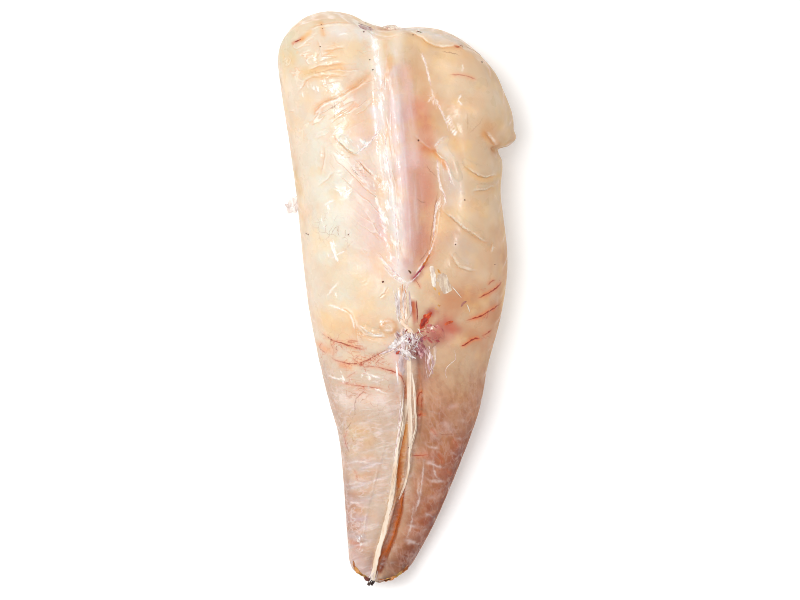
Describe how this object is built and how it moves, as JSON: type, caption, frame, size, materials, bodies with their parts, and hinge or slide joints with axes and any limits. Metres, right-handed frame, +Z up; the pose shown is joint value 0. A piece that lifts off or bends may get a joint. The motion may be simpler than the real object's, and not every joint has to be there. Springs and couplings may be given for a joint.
{
  "type": "monkfish tail",
  "caption": "Skinned monkfish tail on the bone, lying belly side up: thick fillets along a membrane-covered backbone ridge, tapering from the head cut to a narrow tip.",
  "frame": {"origin": "on the table, under the middle of the tail's bounding box", "axes": "+Z up from the table to the belly side, +Y along the tail towards the head cut, +X to the right seen from above"},
  "size_m": [0.1234, 0.3008, 0.0593],
  "materials": {
    "flesh": "raw wet flesh, cream to pink, glossy"
  },
  "bodies": {
    "root": {"monkfish_tail": "flesh"}
  },
  "joints": []
}
